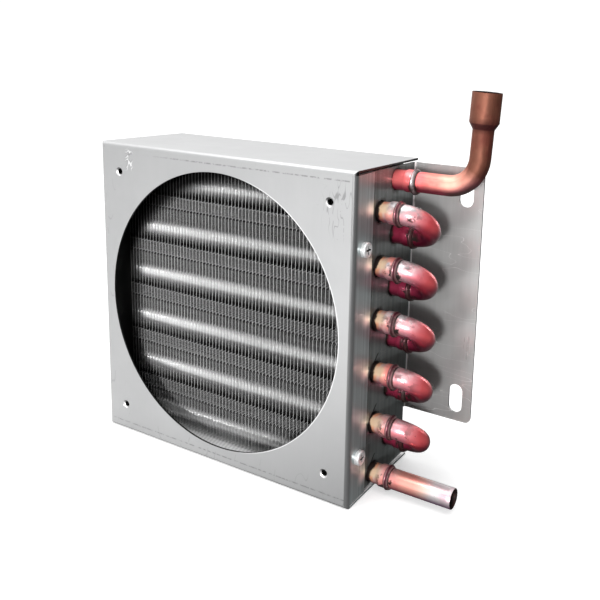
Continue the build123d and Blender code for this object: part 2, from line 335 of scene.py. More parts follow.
class Nodes:
    """A node tree, with short names for the steps that masks and colours are made of."""

    def __init__(self, tree):
        self.tree = tree

    def fill(self, socket, value):
        """Joins a socket to another one, or sets it to a number, a vector or a colour."""
        if isinstance(value, bpy.types.NodeSocket):
            self.tree.links.new(value, socket)
        elif socket.type == "RGBA":
            socket.default_value = (*value, 1.0)
        else:
            socket.default_value = value

    def add(self, kind, inputs, **settings):
        """Adds a node, sets its own values, and fills its input sockets."""
        made = self.tree.nodes.new(kind)
        for name, value in settings.items():
            setattr(made, name, value)
        for name, value in inputs.items():
            self.fill(made.inputs[name], value)
        return made

    def math(self, operation, *values):
        """One sum on numbers or sockets."""
        return self.add("ShaderNodeMath", dict(enumerate(values)), operation=operation).outputs[0]

    def product(self, first, *others):
        """Multiplies masks."""
        for other in others:
            first = self.math("MULTIPLY", first, other)
        return first

    def gap(self, value, middle):
        """How far a value is from a middle."""
        return self.math("ABSOLUTE", self.math("SUBTRACT", value, middle))

    def rise(self, value, low, high, start=0.0, end=1.0, smooth=True):
        """Goes from start to end as the value goes from low to high."""
        return self.add(
            "ShaderNodeMapRange",
            {"Value": value, "From Min": low, "From Max": high, "To Min": start, "To Max": end},
            interpolation_type="SMOOTHSTEP" if smooth else "LINEAR",
        ).outputs["Result"]

    def spread(self, mask, start, end):
        """Maps a 0 to 1 mask evenly onto a range."""
        return self.rise(mask, 0.0, 1.0, start, end, smooth=False)

    def band(self, value, bottom, full, still_full, top):
        """A mask that rises between two values and falls between two others."""
        return self.product(self.rise(value, bottom, full), self.rise(value, top, still_full))

    def flat(self, first, second):
        """A vector from two values."""
        return self.add("ShaderNodeCombineXYZ", {"X": first, "Y": second}).outputs["Vector"]

    def reach(self, first, second, middle=(0.0, 0.0)):
        """Distance of a point in a plane from a middle."""
        inputs = {0: self.flat(first, second), 1: (*middle, 0.0)}
        return self.add("ShaderNodeVectorMath", inputs, operation="DISTANCE").outputs["Value"]

    def towards(self, vector, axis, low, high):
        """A mask that rises along an axis."""
        along = self.add("ShaderNodeVectorMath", {0: vector, 1: axis}, operation="DOT_PRODUCT")
        return self.rise(along.outputs["Value"], low, high)

    def split(self, vector):
        """The three parts of a vector."""
        return self.add("ShaderNodeSeparateXYZ", {"Vector": vector}).outputs

    def noise(self, vector, scale, detail, roughness=0.5):
        """Cloudy noise about 0.5."""
        inputs = {"Vector": vector, "Scale": scale, "Detail": detail, "Roughness": roughness}
        return self.add("ShaderNodeTexNoise", inputs).outputs["Fac"]

    def mix(self, mask, first, second, blend="MIX"):
        """Mixes two colours by a mask, each a plain value or a socket."""
        inputs = {0: mask, 6: first, 7: second}
        return self.add("ShaderNodeMix", inputs, data_type="RGBA", blend_type=blend).outputs[2]

    def tint(self, colour, factor):
        """Multiplies a colour by another one."""
        return self.mix(1.0, colour, factor, "MULTIPLY")

    def ramp(self, value, stops):
        """Colours along a value, from (place, colour) stops."""
        low, high = stops[0][0], stops[-1][0]
        ramp = self.add("ShaderNodeValToRGB", {"Fac": self.rise(value, low, high, smooth=False)})
        points = ramp.color_ramp.elements
        while len(points) < len(stops):
            points.new(1.0)
        for point, (place, colour) in zip(points, stops):
            point.position = (place - low) / (high - low)
            point.color = (*colour, 1.0)
        return ramp.outputs["Color"]


def new_group(name, inputs, output):
    """Starts a shader node group with its named inputs and its output."""
    tree = bpy.data.node_groups.new(name, "ShaderNodeTree")
    for label, value in inputs.items():
        kind = "NodeSocketFloat" if isinstance(value, float) else "NodeSocketVector"
        socket = tree.interface.new_socket(label, in_out="INPUT", socket_type=kind)
        if value is not None:
            socket.default_value = value
    tree.interface.new_socket(output, in_out="OUTPUT", socket_type="NodeSocketFloat")
    given = tree.nodes.new("NodeGroupInput").outputs
    return Nodes(tree), given, tree.nodes.new("NodeGroupOutput").inputs[output]


def patches_group():
    """Cloudy patches: Cover sets how much of the surface they take, Softness how they fade."""
    inputs = {"Vector": None, "Scale": 100.0, "Cover": 0.5, "Softness": 0.1, "Detail": 4.0}
    nodes, given, mask = new_group("Patches", inputs, "Mask")
    cloud = nodes.noise(given["Vector"], given["Scale"], given["Detail"], roughness=0.6)
    edge = nodes.math("SUBTRACT", 1.0, given["Cover"])
    nodes.fill(mask, nodes.rise(cloud, edge, nodes.math("ADD", edge, given["Softness"])))
    return nodes.tree


def grain_group():
    """Drawn or rolled grain: fine lines along one direction, set by Stretch."""
    inputs = {"Vector": None, "Stretch": (1.0, 1.0, 1.0), "Scale": 900.0}
    nodes, given, lines = new_group("Grain", inputs, "Lines")
    stretched = nodes.add(
        "ShaderNodeVectorMath", {0: given["Vector"], 1: given["Stretch"]}, operation="MULTIPLY"
    ).outputs[0]
    nodes.fill(lines, nodes.noise(stretched, given["Scale"], detail=3.0, roughness=0.7))
    return nodes.tree


def scratches_group():
    """Sparse thin scratches, as narrow bands of a stretched and bent noise."""
    inputs = {"Vector": None, "Stretch": (1.0, 1.0, 1.0), "Scale": 60.0, "Width": 0.006, "Cover": 0.4}
    nodes, given, mask = new_group("Scratches", inputs, "Mask")
    stretched = nodes.add(
        "ShaderNodeVectorMath", {0: given["Vector"], 1: given["Stretch"]}, operation="MULTIPLY"
    ).outputs[0]
    off_line = nodes.gap(nodes.noise(stretched, given["Scale"], detail=1.0), 0.5)
    thin = nodes.rise(off_line, 0.0, given["Width"], 1.0, 0.0, smooth=False)
    area = nodes.noise(given["Vector"], given["Scale"], detail=2.0)
    gate = nodes.math("GREATER_THAN", area, nodes.math("SUBTRACT", 1.0, given["Cover"]))
    nodes.fill(mask, nodes.product(thin, gate))
    return nodes.tree


GROUP_MAKERS = {"Patches": patches_group, "Grain": grain_group, "Scratches": scratches_group}


class Finish(Nodes):
    """A material, with its shader, its Object coordinates and the effects that finishes share."""

    def __init__(self, name):
        self.material = bpy.data.materials.new(name)
        self.material.use_nodes = True
        super().__init__(self.material.node_tree)
        self.shader = self.tree.nodes["Principled BSDF"]
        self.where = self.tree.nodes.new("ShaderNodeTexCoord").outputs["Object"]

    def place(self):
        """The three parts of the Object coordinates."""
        return self.split(self.where)

    def normal(self):
        """The three parts of the surface's own normal."""
        return self.split(self.tree.nodes.new("ShaderNodeTexCoord").outputs["Normal"])

    def facing(self, axis, low, high):
        """A mask that rises with one part of the surface's own normal."""
        return self.rise(self.normal()[axis], low, high)

    def group(self, name, **inputs):
        """Places a shared node group, making it the first time."""
        tree = bpy.data.node_groups.get(name) or GROUP_MAKERS[name]()
        return self.add("ShaderNodeGroup", {"Vector": self.where, **inputs}, node_tree=tree).outputs[0]

    def patches(self, scale, cover, softness, detail=4.0):
        """Cloudy patches."""
        return self.group("Patches", Scale=scale, Cover=cover, Softness=softness, Detail=detail)

    def grain(self, stretch, scale):
        """Fine lines along one direction."""
        return self.group("Grain", Stretch=stretch, Scale=scale)

    def scratches(self, stretch, scale, width, cover):
        """Sparse thin scratches."""
        return self.group("Scratches", Stretch=stretch, Scale=scale, Width=width, Cover=cover)

    def shade(self, colour, metallic, roughness):
        """Feeds the shader, with numbers set on its own sockets."""
        self.fill(self.shader.inputs["Base Color"], colour)
        self.fill(self.shader.inputs["Metallic"], metallic)
        self.fill(self.shader.inputs["Roughness"], roughness)

    def bump(self, height, strength, distance):
        """Roughens the surface by a height."""
        inputs = {"Height": height, "Strength": strength, "Distance": distance}
        self.fill(self.shader.inputs["Normal"], self.add("ShaderNodeBump", inputs).outputs["Normal"])


def sheet_material(name, colour, metallic, roughness, streaks, scratched, scratch_colour, marks_and_painted_light,
                   painted_light=None):
    """Zinc-coated sheet: rolled grain, cloudy tone, thin scratches, slight dents, and marks and painted
    light of its own.
    """
    sheet = Finish(name)
    clouds = sheet.patches(scale=22.0, cover=0.62, softness=0.3)
    grain = sheet.grain(stretch=(1.0, 1.0, 0.05), scale=700.0)
    scratches = sheet.scratches(stretch=(1.0, 1.0, 5.0), scale=34.0, width=0.004, cover=scratched)
    darker = tuple(0.94 * part for part in colour)
    lighter = tuple(min(1.0, 1.22 * part) for part in colour)
    toned = sheet.mix(clouds, darker, colour)
    lined = sheet.mix(sheet.spread(grain, -0.5 * streaks, 1.5 * streaks), toned, lighter)
    marked = sheet.mix(sheet.spread(scratches, 0.0, 0.55), lined, scratch_colour)
    marked = marks_and_painted_light(sheet, marked)
    # painted light and painted reflections, lighter and less metallic, on the inside of the bottom flange
    if painted_light:
        painted_light_mask = painted_light(sheet)
        marked = sheet.mix(painted_light_mask, marked, grey(0.97))
        metallic = sheet.spread(painted_light_mask, metallic, 0.15)
    rough = sheet.math(
        "ADD", sheet.spread(clouds, roughness + 0.04, roughness - 0.02), sheet.spread(grain, -0.05, 0.05)
    )
    sheet.shade(marked, metallic, rough)
    dents = sheet.product(sheet.noise(sheet.where, scale=14.0, detail=1.0), 0.06)
    rolled = sheet.math("ADD", dents, sheet.product(grain, 0.004))
    sheet.bump(sheet.math("ADD", rolled, sheet.product(scratches, -0.02)), strength=1.0, distance=1.0 * MM)
    return sheet.material


def painted_side_shade(sheet, colour, side_shade_level):
    """Painted shade on faces that look right: dim round the fold, then a painted tone of their own, less red
    than the rest, in upright streaks.
    """
    depth = sheet.place()["Y"]
    # painted shade round the fold, then the side's painted tone
    fold = sheet.tint(colour, grey(0.42))
    streak = sheet.noise(sheet.flat(0.0, depth), scale=420.0, detail=3.0)
    shade = sheet.spread(streak, 0.35 * side_shade_level, 1.65 * side_shade_level)
    cool = {"Red": sheet.product(shade, 0.90), "Green": shade, "Blue": shade}
    muted_and_shaded = sheet.tint(colour, sheet.add("ShaderNodeCombineColor", cool).outputs["Color"])
    side = sheet.mix(sheet.rise(depth, 1.2 * MM, 3.0 * MM), fold, muted_and_shaded)
    return sheet.mix(sheet.facing("X", 0.02, 0.25), colour, side)


def plate_marks_and_painted_light(sheet, colour):
    """An end plate's marks and painted light: painted shade round the tube holes, painted shade on the
    inside, a painted highlight on the fold and thin black lines.
    """
    x, y, z = sheet.place()
    from_tubes = []
    for joints in (FRONT_JOINTS, REAR_JOINTS):
        up = sheet.math("PINGPONG", sheet.math("SUBTRACT", z, joints[-1].z), PITCH / 2)
        from_tubes.append(sheet.reach(up, sheet.math("SUBTRACT", y, joints[0].y)))
    # painted shade round the tube holes, in a ragged ring
    ragged = sheet.spread(sheet.noise(sheet.where, scale=240.0, detail=3.0), -1.6 * MM, 1.6 * MM)
    off_tube = sheet.math("ADD", sheet.math("MINIMUM", *from_tubes), ragged)
    ring = sheet.rise(off_tube, 5.0 * MM, 6.8 * MM, 0.8, 0.0)
    soot_and_shade = tuple(bpy.context.scene.coil_tubes.soot_and_shade)
    colour = sheet.mix(ring, painted_side_shade(sheet, colour, PLATE_SIDE_SHADE), soot_and_shade)
    # the rounded fold to the mounting flange catches the light
    on_fold = sheet.band(sheet.normal()["X"], 0.25, 0.45, 0.82, 0.96)
    at_back = sheet.math("GREATER_THAN", y, RIGHT_PLATE_BACK - 5.0 * MM)
    colour = sheet.mix(sheet.product(on_fold, at_back, 0.8), colour, grey(0.95))
    # painted shade: the left plate's inner side, in front of the fins, is black
    inside = sheet.math("COMPARE", x, LEFT_PLATE_INSIDE, ON_PLANE)
    flux = sheet.product(inside, sheet.math("LESS_THAN", y, PACK_LOW.y + 1.0 * MM))
    # a thin black line above each of the lower front legs
    above = sheet.math("WRAP", sheet.math("SUBTRACT", z, LOWEST_TUBE), PITCH, 0.0)
    aside = sheet.math("SUBTRACT", y, FRONT_JOINTS[0].y - 2.0 * MM)
    leant = sheet.product(sheet.math("SUBTRACT", above, LINE_FOOT), LINE_SLANT)
    black_line = sheet.product(
        sheet.rise(sheet.gap(aside, leant), 0.9 * MM, 0.5 * MM), sheet.facing("X", 0.5, 0.9),
        sheet.band(above, LINE_FOOT - 0.5 * MM, LINE_FOOT, LINE_HEAD, LINE_HEAD + 0.5 * MM),
        sheet.math("LESS_THAN", z, FRONT_JOINTS[2].z - PITCH / 2),
    )
    return sheet.mix(sheet.math("MAXIMUM", flux, black_line), colour, grey(0.01))


def shroud_marks_and_painted_light(sheet, colour):
    """The shroud's marks and painted light and shade, from its overall tone to the black of its slit and
    holes.
    """
    x, y, z = sheet.place()
    # painted light: faces that look up are lighter
    colour = sheet.mix(sheet.facing("Z", 0.35, 0.8), colour, sheet.tint(colour, grey(1.45)))
    # painted light: the sheet is darker on the left and lighter on the right
    from_left = sheet.rise(x, SHROUD_LOW.x, SHROUD_HIGH.x)
    colour = sheet.mix(from_left, sheet.tint(colour, grey(0.95)), sheet.tint(colour, grey(1.07)))
    colour = painted_side_shade(sheet, colour, SHROUD_SIDE_SHADE)
    outside = sheet.facing("X", 0.5, 0.9)
    # light thrown back by the copper legs, on the side flange's rear edge
    off_leg = sheet.math("SUBTRACT", z, LOWEST_TUBE + GLOW_RISE)
    off_leg = sheet.math("PINGPONG", off_leg, PITCH / 2)
    off_edge = sheet.math("SUBTRACT", y, 0.8 * SIDE_FLANGE_DEPTH)
    glow = sheet.product(sheet.rise(sheet.reach(off_leg, off_edge), GLOW_RADIUS, 0.0), outside, 0.9)
    colour = sheet.mix(glow, colour, (0.95, 0.87, 0.85))
    # painted shadow: the slit under the top flange is painted black, and narrows towards the back
    slit = sheet.rise(
        y, SHROUD_LOW.y, SHROUD_HIGH.y, SHROUD_HIGH.z - 2.1 * MM, SHROUD_HIGH.z - 1.1 * MM, smooth=False
    )
    black = sheet.product(outside, sheet.math("GREATER_THAN", z, slit))
    # pilot holes: painted shade, black inside, and a painted highlight, a bright crescent below on the left
    from_hole = []
    for along, spacing in ((x, "spacing_x_mm"), (z, "spacing_y_mm")):
        off_middle = sheet.gap(along, 0.0)
        outwards = sheet.math("SUBTRACT", off_middle, PILOT_HOLES[spacing] / 2 * MM)
        from_hole.append(sheet.product(outwards, sheet.math("SIGN", along)))
    off_hole = sheet.reach(*from_hole)
    hole_radius = PILOT_HOLES["hole_r_mm"] * MM
    in_hole = sheet.math("LESS_THAN", off_hole, hole_radius + 0.1 * MM)
    hollow = sheet.product(in_hole, sheet.math("GREATER_THAN", y, 0.25 * MM))
    lip = sheet.rise(off_hole, hole_radius + 1.1 * MM, hole_radius + 0.3 * MM)
    lower_left = sheet.towards(sheet.flat(*from_hole), (-0.75, -0.65, 0.0), 0.3 * MM, 1.5 * MM)
    colour = sheet.mix(sheet.product(lip, lower_left, 0.9), colour, grey(0.95))
    # the cut edge of the fan opening is black, and a painted highlight runs along its rim on the right
    off_axis = sheet.reach(x, z)
    opening = MOUNTS["fan_opening"]["dims"]["r_mm"] * MM
    at_opening = sheet.math("LESS_THAN", off_axis, opening + 0.08 * MM)
    cut = sheet.product(at_opening, sheet.math("GREATER_THAN", y, ON_PLANE))
    colour = face_marks(sheet, colour)
    on_face = sheet.math("LESS_THAN", y, ON_PLANE)
    rim_highlight = sheet.product(
        sheet.rise(off_axis, opening + 0.55 * MM, opening + 0.3 * MM), on_face,
        sheet.rise(x, 0.1 * opening, 0.5 * opening), 0.6,
    )
    colour = sheet.mix(rim_highlight, colour, grey(0.95))
    # the lower fold, away from the light
    colour = sheet.mix(sheet.product(sheet.facing("Z", -0.25, -0.7), 0.7), colour, grey(0.08))
    black = sheet.math("MAXIMUM", sheet.math("MAXIMUM", black, hollow), cut)
    return sheet.mix(black, colour, grey(0.01))


def face_marks(sheet, colour):
    """Rub marks, cracks and scuffs on the shroud's face."""
    x, y, z = sheet.place()
    on_face = sheet.math("LESS_THAN", y, ON_PLANE)
    # a row of rub marks along the bottom fold, and along the right part of the top fold
    off_row = sheet.gap(sheet.gap(z, 0.0), SHROUD_HIGH.z - RUB_ROW_INSET)
    in_row = sheet.rise(off_row, 0.5 * MM, 0.15 * MM)
    dashes = sheet.patches(scale=330.0, cover=0.56, softness=0.1, detail=5.0)
    faded = sheet.math(
        "MAXIMUM", sheet.math("LESS_THAN", z, 0.0), sheet.rise(x, -50.0 * MM, -15.0 * MM)
    )
    rubbed = sheet.product(in_row, dashes, faded)
    # fine upright cracks in the zinc round the upper right hole
    near_cracks = sheet.rise(sheet.reach(x, z, CRACK_MIDDLE), 16.0 * MM, 9.0 * MM)
    cracks = sheet.scratches(stretch=(1.0, 1.0, 0.28), scale=270.0, width=0.018, cover=0.56)
    # faint scuffs near the left and lower edges
    off_edges = sheet.math(
        "MINIMUM", sheet.math("SUBTRACT", x, SHROUD_LOW.x),
        sheet.math("SUBTRACT", z, SHROUD_LOW.z),
    )
    scuffs = sheet.scratches(stretch=(1.0, 1.0, 0.35), scale=110.0, width=0.012, cover=0.46)
    scuffs = sheet.product(scuffs, sheet.rise(off_edges, 16.0 * MM, 5.0 * MM), 0.6)
    marks = sheet.math("MAXIMUM", rubbed, sheet.product(near_cracks, cracks))
    marks = sheet.math("MAXIMUM", marks, scuffs)
    colour = sheet.mix(sheet.product(marks, on_face, 0.6), colour, grey(0.15))
    # a small scuff beside the upper left hole, in pale and dark squiggles
    crumpled = sheet.product(
        sheet.rise(sheet.gap(x, SCUFF_MIDDLE[0]), 3.0 * MM, 1.5 * MM),
        sheet.rise(sheet.gap(z, SCUFF_MIDDLE[1]), 6.0 * MM, 4.0 * MM), on_face, 0.55,
    )
    folds = sheet.noise(sheet.where, scale=260.0, detail=1.0)
    for middle, tone in ((0.46, 0.95), (0.53, 0.20)):
        squiggle = sheet.product(sheet.rise(sheet.gap(folds, middle), 0.035, 0.01), crumpled)
        colour = sheet.mix(squiggle, colour, grey(tone))
    return colour


def painted_bottom_light(sheet):
    """Painted light on the inside of the bottom flange, striped with painted reflections of the fins."""
    x, y, z = sheet.place()
    low = sheet.math("LESS_THAN", z, SHROUD_LOW.z + 1.5 * MM)
    spacing = (PACK_HIGH.x - PACK_LOW.x) / bpy.context.scene.coil_fins.count
    slanted = sheet.math("ADD", x, sheet.product(y, 0.25))
    stripe = sheet.math("PINGPONG", sheet.math("DIVIDE", slanted, spacing), 0.5)
    stripe = sheet.spread(sheet.rise(stripe, 0.1, 0.4), 0.60, 1.0)
    return sheet.product(low, sheet.facing("Z", 0.4, 0.9), stripe)


def fin_material(settings):
    """Bare foil: bright edges, painted light on top of the collars and painted shade under them, painted
    shade on the ribs, and a painted shadow round the lit part.
    """
    foil = Finish("fin_foil")
    x, y, z = foil.place()
    normal = foil.normal()
    dust = foil.patches(scale=160.0, cover=0.42, softness=0.2)
    dusty = foil.mix(foil.spread(dust, 0.0, 0.1), tuple(settings.colour), grey(0.66))
    # collars: painted shade underneath and painted light on top, from underneath to the top
    levels = (
        (-1.0, 0.004), (-0.75, 0.02), (-0.45, 0.45), (-0.1, 1.0), (0.30, 1.0), (0.60, 0.60), (0.80, 0.22),
        (0.92, 0.07), (1.0, 0.05),
    )
    collar = foil.ramp(normal["Z"], [(height, grey(level)) for height, level in levels])
    # the lowest tube's collars are lit from below too, by the sheet under them
    lit_below = foil.rise(z, LOWEST_TUBE - 2.0 * MM, LOWEST_TUBE - 4.0 * MM)
    collar = foil.mix(lit_below, collar, grey(0.60))
    flat = foil.rise(foil.gap(normal["X"], 0.0), 0.5, 0.8)
    colour = foil.mix(flat, collar, dusty)
    # pressed ribs, with painted shade on their lower flank
    below_rib = foil.math("SUBTRACT", RIB_HEIGHTS[0] + 0.5 * PITCH, z)
    below_rib = foil.math("SUBTRACT", foil.math("WRAP", below_rib, PITCH, 0.0), 0.5 * PITCH)
    flank_end = 0.5 * settings.rib_width
    flank = foil.product(foil.band(below_rib, -0.1 * MM, 0.15 * MM, flank_end, flank_end + 0.3 * MM), flat)
    edge = foil.rise(y, PACK_LOW.y + settings.edge_depth, PACK_LOW.y + 0.2 * settings.edge_depth)
    # the dark band under each front tube, sharp at its lower side
    below_tube = foil.math("WRAP", foil.math("SUBTRACT", FRONT_JOINTS[0].z, z), PITCH, 0.0)
    shade_end = settings.shade_reach
    shade = foil.product(
        foil.band(below_tube, 2.6 * MM, 5.0 * MM, shade_end, shade_end + 0.25 * MM),
        foil.rise(z, LOWEST_TUBE - 2.0 * MM, LOWEST_TUBE - 0.5 * MM), foil.spread(flat, 0.0, 0.94),
    )
    # creases that catch the light: along each rib, and below the dark band
    creases = [
        foil.rise(foil.gap(distance, middle), 0.32 * MM, 0.12 * MM)
        for distance, middle in ((below_rib, -0.35 * MM), (below_tube, shade_end + 0.45 * MM))
    ]
    creases = foil.product(foil.math("MAXIMUM", *creases), foil.spread(flat, 0.0, 0.32))
    # painted shade, darker over the crown of each front tube
    crown = foil.product(
        foil.rise(below_tube, PITCH - 6.4 * MM, PITCH - 4.6 * MM),
        foil.rise(y, PACK_LOW.y + 4.2 * MM, PACK_LOW.y + 6.0 * MM), 0.6,
    )
    # painted shadow in front, outside the lit part and at the left end
    off_lit = foil.reach(x, z, tuple(settings.lit_middle))
    opening_shadow = foil.rise(off_lit, settings.lit_radius - 3.0 * MM, settings.lit_radius + 5.0 * MM)
    left_end = foil.rise(x, PACK_LOW.x + 11.0 * MM, PACK_LOW.x + 1.0 * MM)
    opening_shadow = foil.math("MAXIMUM", opening_shadow, foil.product(left_end, 0.85))
    opening_shadow = foil.product(opening_shadow, foil.rise(y, PACK_LOW.y + 14.0 * MM, PACK_LOW.y + 6.0 * MM), 0.95)
    tones = ((flank, 0.30), (edge, 0.60), (shade, 0.01), (creases, 0.95), (crown, 0.03), (opening_shadow, 0.015))
    for mask, tone in tones:
        colour = foil.mix(mask, colour, grey(tone))
    matt = foil.math("MAXIMUM", foil.math("MAXIMUM", edge, creases), foil.spread(flat, 0.30, 0.0))
    smooth = foil.math("ADD", foil.spread(dust, 0.06, 0.10), foil.spread(flat, 0.25, 0.0))
    rough = foil.math("MAXIMUM", smooth, foil.spread(edge, 0.0, 0.5))
    foil.shade(colour, foil.spread(matt, 0.86, 0.2), rough)
    foil.bump(foil.grain(stretch=(1.0, 0.35, 1.6), scale=260.0), strength=0.05, distance=0.03 * MM)
    return foil.material


def copper_material(name, settings, stops, film_reach, film_cover, seam=None, muted_and_shaded=0.0, metal=None, far=None,
                    grain=(0.12, 1.0, 1.0), pale=None):
    """Copper coloured by its distance from the joint, with silver film above, and dark flux stains and
    painted shade below.
    """
    copper = Finish(name)
    distance = copper.add("ShaderNodeAttribute", {}, attribute_name="from_joint").outputs["Fac"]
    facing_up = copper.normal()["Z"]
    wander = copper.spread(copper.noise(copper.where, scale=130.0, detail=4.0), -3.0 * MM, 3.0 * MM)
    shifted = copper.math("ADD", distance, wander)
    base = copper.ramp(shifted, [(place * MM, colour) for place, colour in stops])
    mottle = copper.patches(scale=70.0, cover=0.54, softness=0.22)
    toned = copper.mix(copper.spread(mottle, 0.0, 0.8), base, copper.tint(base, (0.88, 0.62, 0.70)))
    # painted shade: only the heated end is darker and purple underneath, and the heated end is half matt
    heated = copper.rise(distance, -16.0 * MM, -11.0 * MM)
    purple = copper.product(heated, copper.rise(facing_up, 0.10, -0.70))
    toned = copper.mix(purple, toned, copper.tint(toned, (0.30, 0.16, 0.30)))
    if pale:
        # painted highlight: the upper front of a leg is paler between the soot and the joint
        lit = copper.product(
            copper.band(facing_up, -0.05, 0.30, 0.72, 0.98), copper.facing("Y", -0.1, -0.5),
            copper.rise(shifted, -8.4 * MM, -7.4 * MM), copper.rise(distance, -1.5 * MM, -4.5 * MM), 0.85,
        )
        toned = copper.mix(lit, toned, pale)
    # the film and the flux stains thin out away from the joint, on both sides of it
    reach = copper.gap(distance, 0.0)
    if far:
        reach = copper.math("MINIMUM", reach, copper.gap(distance, far))
    close = copper.rise(reach, film_reach * MM, 0.4 * film_reach * MM)
    film = copper.product(
        copper.patches(scale=75.0, cover=film_cover, softness=0.09, detail=5.0),
        copper.product(close, copper.spread(facing_up, 0.30, 1.0)),
        copper.spread(copper.patches(scale=420.0, cover=0.60, softness=0.25, detail=3.0), 0.6, 1.0),
        copper.rise(copper.place()["Z"], SHROUD_LOW.z, SHROUD_HIGH.z, 0.45, 1.7, smooth=False),
    )
    if far:
        film = copper.product(film, copper.rise(distance, 0.6 * far, 0.4 * far))
    soot_and_shade = copper.product(
        copper.patches(scale=170.0, cover=0.47, softness=0.07, detail=5.0),
        copper.product(close, copper.spread(facing_up, 1.0, 0.15)),
    )
    if seam:
        off_seam = copper.gap(reach if far else distance, seam * MM)
        line = copper.rise(off_seam, 0.25 * MM, 0.6 * MM, 0.95, 0.0, smooth=False)
        soot_and_shade = copper.math("MAXIMUM", soot_and_shade, line)
    if muted_and_shaded:
        worn = copper.spread(copper.grain(stretch=grain, scale=500.0), -0.9, 1.3)
        toned = copper.mix(worn, toned, copper.tint(toned, grey(1.9)))
        # painted shade under the outside of the turn
        turn_underside_shade = copper.product(
            copper.band(distance, 14.0 * MM, 19.0 * MM, 24.0 * MM, 34.0 * MM),
            copper.rise(facing_up, -0.25, -0.75), 0.8,
        )
        toned = copper.mix(turn_underside_shade, toned, (0.05, 0.045, 0.035))
    smears = copper.spread(copper.patches(scale=230.0, cover=0.58, softness=0.16, detail=6.0), 0.0, 0.75)
    tinned = copper.mix(smears, tuple(settings.silver), (0.34, 0.31, 0.32))
    colour = copper.mix(soot_and_shade, copper.mix(film, toned, tinned), tuple(settings.soot_and_shade))
    drawn = copper.grain(stretch=grain, scale=800.0)
    rough = settings.roughness + muted_and_shaded
    rough = copper.math("ADD", copper.spread(mottle, rough, rough + 0.08), copper.spread(drawn, -0.06, 0.06))
    copper.shade(colour, copper.spread(heated, 0.92, metal or settings.metal), rough)
    copper.shader.inputs["Coat Weight"].default_value = 0.0 if muted_and_shaded else 0.2
    copper.shader.inputs["Coat Roughness"].default_value = 0.32
    stained = copper.math("ADD", copper.product(film, 0.08), copper.product(soot_and_shade, 0.10))
    copper.bump(copper.math("ADD", stained, copper.product(drawn, 0.012)), strength=0.8, distance=1.0 * MM)
    return copper.material


def bore_material(settings):
    """The dark, oxidised inside of a tube."""
    bore = Finish("copper_bore")
    scale = bore.patches(scale=400.0, cover=0.5, softness=0.2)
    colour = bore.mix(bore.spread(scale, 0.0, 0.3), (0.02, 0.01, 0.01), tuple(settings.brown))
    bore.shade(colour, 0.5, 0.55)
    bore.bump(scale, strength=0.2, distance=0.1 * MM)
    return bore.material


def braze_material(name, settings, soot_and_shade, stops):
    """Brazing alloy, coloured across the bead, with brown and black where flux burnt, and painted shade
    underneath.
    """
    alloy = Finish(name)
    across = alloy.add("ShaderNodeAttribute", {}, attribute_name="from_joint").outputs["Fac"]
    colour = alloy.ramp(across, [(place * MM, colour) for place, colour in stops])
    burnt = alloy.patches(scale=230.0, cover=0.50, softness=0.12, detail=5.0)
    coppery = alloy.spread(alloy.patches(scale=120.0, cover=0.66, softness=0.15), 0.0, 0.5)
    colour = alloy.mix(coppery, colour, tuple(settings.maroon))
    colour = alloy.mix(alloy.spread(burnt, 0.0, 0.7), colour, soot_and_shade)
    # painted shade: darker underneath
    colour = alloy.mix(alloy.product(alloy.facing("Z", 0.0, -0.8), 0.75), colour, soot_and_shade)
    alloy.shade(colour, alloy.spread(burnt, 0.7, 0.3), alloy.spread(burnt, 0.32, 0.5))
    alloy.bump(alloy.noise(alloy.where, scale=900.0, detail=3.0), strength=0.5, distance=0.1 * MM)
    return alloy.material


def screw_material(settings):
    """Bright zinc plating, slightly cloudy, with painted shade in its cross recess."""
    plating = Finish("screw_zinc")
    x, y, z = plating.place()
    cloud = plating.patches(scale=500.0, cover=0.5, softness=0.2)
    colour = plating.mix(plating.spread(cloud, 0.0, 0.4), tuple(settings.plating), (0.5, 0.5, 0.49))
    low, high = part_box("side_screws")
    radius = (high.y - low.y) / 2
    heights = [plating.gap(z, middle) for middle in (high.z - radius, low.z + radius)]
    aside = plating.math("SUBTRACT", y, low.y + radius)
    off_screw = plating.reach(aside, plating.math("MINIMUM", *heights))
    sunk = plating.math("LESS_THAN", plating.gap(x, 0.0), high.x - 0.25 * MM)
    # painted shade in the cross recess
    recess = plating.product(sunk, plating.math("LESS_THAN", off_screw, 0.68 * radius))
    plating.shade(plating.mix(recess, colour, grey(0.02)), 0.6, plating.spread(cloud, 0.34, 0.44))
    plating.bump(cloud, strength=0.15, distance=0.05 * MM)
    return plating.material


def to_mesh(bm, name):
    """Turns a bmesh into a mesh."""
    mesh = bpy.data.meshes.new(name)
    bm.to_mesh(mesh)
    bm.free()
    return mesh


def new_object(name, data):
    """Places a mesh, a light or a camera in the scene."""
    made = bpy.data.objects.new(name, data)
    bpy.context.scene.collection.objects.link(made)
    return made


def finish_piece(bm, name, materials, replaced, crease=None):
    """Turns a bmesh into a smooth piece that rides on the body and stands for a CAD node."""
    mesh = to_mesh(bm, name)
    for material in materials:
        mesh.materials.append(material)
    piece = new_object(name, mesh)
    mesh.shade_smooth()
    if crease:
        mesh.set_sharp_from_angle(angle=math.radians(crease))
    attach(piece, BODY)
    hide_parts(replaced)


def finish_tube(bm, name, materials, replaced):
    """Finishes a tube, with crisp rims."""
    finish_piece(bm, name, materials, replaced, crease=40.0)


def mark_distance(bm, distance):
    """Writes each point's distance from its joint, which the copper materials read."""
    layer = bm.verts.layers.float.new("from_joint")
    for vert in bm.verts:
        vert[layer] = distance(vert.co)


def mark_bore(bm, mouth, inward, depth):
    """Gives the inner wall behind an open mouth the piece's second material."""
    bm.normal_update()
    for face in bm.faces:
        offset = face.calc_center_median() - mouth
        along = offset.dot(inward)
        radial = (offset - inward * along).normalized()
        if 0 < along < depth and face.normal.dot(radial) < -0.3:
            face.material_index = 1


def new_verts(made, key="geom"):
    """The vertices that a bmesh operator made."""
    return [item for item in made[key] if isinstance(item, bmesh.types.BMVert)]


